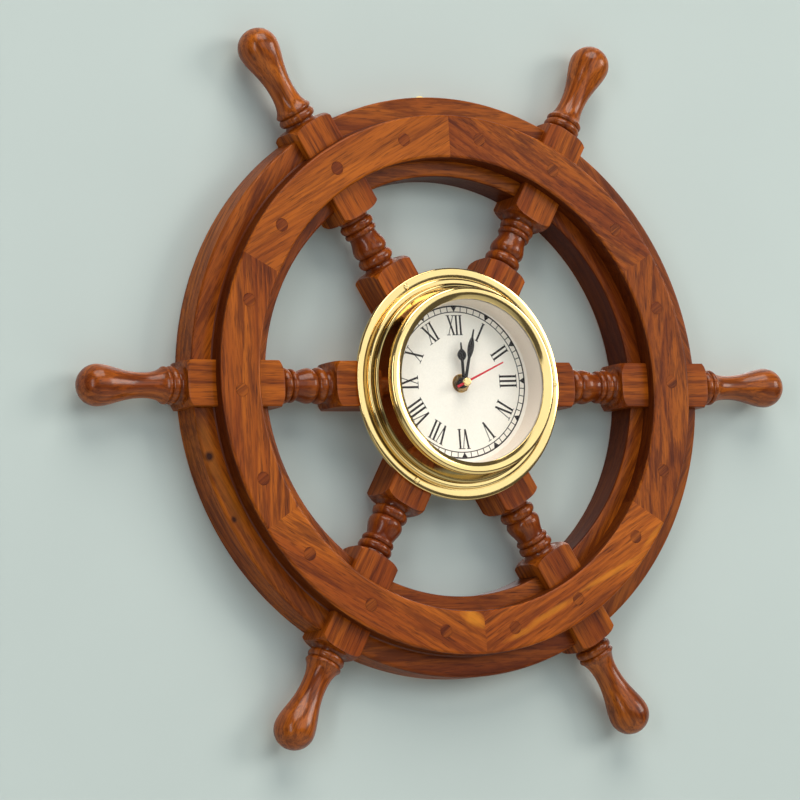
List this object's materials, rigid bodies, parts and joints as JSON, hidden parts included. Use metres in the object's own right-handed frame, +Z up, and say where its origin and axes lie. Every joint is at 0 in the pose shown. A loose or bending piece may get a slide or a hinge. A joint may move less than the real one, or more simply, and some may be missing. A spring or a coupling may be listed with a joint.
{
  "type": "ship wheel wall clock",
  "caption": "Wooden ship's-wheel wall clock: turned spokes in a two-layer rim, with a brass-cased quartz clock with Roman numerals on the hub.",
  "frame": {"origin": "the wheel's axis at the wall plane, which is the flat back of the rim, spokes and hub", "axes": "+X right as seen from the front, +Y into the wall, +Z up to twelve o'clock"},
  "size_m": [0.6126, 0.0581, 0.5346],
  "materials": {
    "spoke_wood": "gloss varnish",
    "front_felloe_wood": "gloss varnish",
    "back_felloe_wood": "gloss varnish",
    "plug_wood": "gloss varnish",
    "hub_wood": "satin varnish",
    "polished_brass": "polished, lacquered",
    "nut_brass": "satin",
    "screw_steel": "zinc plated",
    "glass": "clear",
    "dial_white": "satin white",
    "ring_white": "matt white",
    "hand_black": "satin black",
    "hand_red": "satin red",
    "movement_plastic": "moulded black",
    "gear_plastic": "moulded natural",
    "arbor_brass": "turned",
    "magnet_steel": "plain",
    "coil_copper": "enamelled copper wire",
    "board": "green laminate",
    "battery_sleeve": "plain sleeve",
    "rubber": "moulded"
  },
  "bodies": {
    "wheel": {"spoke_1": "spoke_wood", "spoke_2": "spoke_wood", "spoke_3": "spoke_wood", "spoke_4": "spoke_wood", "spoke_5": "spoke_wood", "spoke_6": "spoke_wood", "front_felloe_1": "front_felloe_wood", "front_felloe_2": "front_felloe_wood", "front_felloe_3": "front_felloe_wood", "front_felloe_4": "front_felloe_wood", "front_felloe_5": "front_felloe_wood", "front_felloe_6": "front_felloe_wood", "back_felloe_1": "back_felloe_wood", "back_felloe_2": "back_felloe_wood", "back_felloe_3": "back_felloe_wood", "back_felloe_4": "back_felloe_wood", "back_felloe_5": "back_felloe_wood", "back_felloe_6": "back_felloe_wood", "felloe_plugs": "plug_wood", "hub": "hub_wood", "clock_flange": "polished_brass", "flange_screws": "polished_brass", "case_band": "polished_brass", "bezel": "polished_brass", "hanger_plate": "polished_brass", "hanger_screws": "polished_brass", "dial_nut": "nut_brass", "dial_washer": "nut_brass", "felloe_screws": "screw_steel", "battery_contacts": "screw_steel", "glass": "glass", "dial": "dial_white", "dial_ring": "ring_white", "movement_case": "movement_plastic", "movement_cover": "movement_plastic", "gear_plate": "gear_plastic", "stator": "magnet_steel", "coil": "coil_copper", "circuit_board": "board", "battery": "battery_sleeve", "rubber_washer": "rubber"},
    "seconds": {"seconds_wheel": "gear_plastic", "seconds_hand": "hand_red", "seconds_cap": "polished_brass"},
    "third": {"third_wheel": "gear_plastic"},
    "intermediate": {"intermediate_wheel": "gear_plastic"},
    "rotor": {"rotor": "magnet_steel"},
    "centre": {"centre_wheel": "gear_plastic"},
    "minute": {"minute_arbor": "arbor_brass", "minute_hand": "hand_black"},
    "hour": {"hour_wheel": "gear_plastic", "hour_hand": "hand_black"},
    "motion": {"motion_wheel": "gear_plastic", "setting_knob": "movement_plastic"}
  },
  "joints": [
    {"name": "minute_turn", "type": "hinge", "parent": "wheel", "child": "minute", "pos_m": [0, -0.028, 0], "axis": [0, 1, 0], "continuous": true},
    {"name": "hour_turn", "type": "hinge", "parent": "wheel", "child": "hour", "pos_m": [0, -0.028, 0], "axis": [0, 1, 0], "continuous": true},
    {"name": "motion_turn", "type": "hinge", "parent": "wheel", "child": "motion", "pos_m": [-0.00956, -0.028, -0.00084], "axis": [0, 1, 0], "continuous": true},
    {"name": "seconds_turn", "type": "hinge", "parent": "wheel", "child": "seconds", "pos_m": [0, -0.028, 0], "axis": [0, 1, 0], "continuous": true},
    {"name": "intermediate_turn", "type": "hinge", "parent": "wheel", "child": "intermediate", "pos_m": [-0.00355, -0.028, 0.00761], "axis": [0, 1, 0], "continuous": true},
    {"name": "rotor_turn", "type": "hinge", "parent": "wheel", "child": "rotor", "pos_m": [-0.01082, -0.028, 0.01181], "axis": [0, 1, 0], "continuous": true},
    {"name": "third_turn", "type": "hinge", "parent": "wheel", "child": "third", "pos_m": [0.00651, -0.028, 0.00546], "axis": [0, 1, 0], "continuous": true},
    {"name": "centre_turn", "type": "hinge", "parent": "wheel", "child": "centre", "pos_m": [0, -0.028, 0], "axis": [0, 1, 0], "continuous": true}
  ],
  "couplings": [
    {"joint": "hour_turn", "follows": "minute_turn", "ratio": 0.083333},
    {"joint": "motion_turn", "follows": "minute_turn", "ratio": -0.33333},
    {"joint": "intermediate_turn", "follows": "seconds_turn", "ratio": -5},
    {"joint": "rotor_turn", "follows": "seconds_turn", "ratio": 30},
    {"joint": "third_turn", "follows": "seconds_turn", "ratio": -0.13333},
    {"joint": "centre_turn", "follows": "seconds_turn", "ratio": 0.016667}
  ]
}
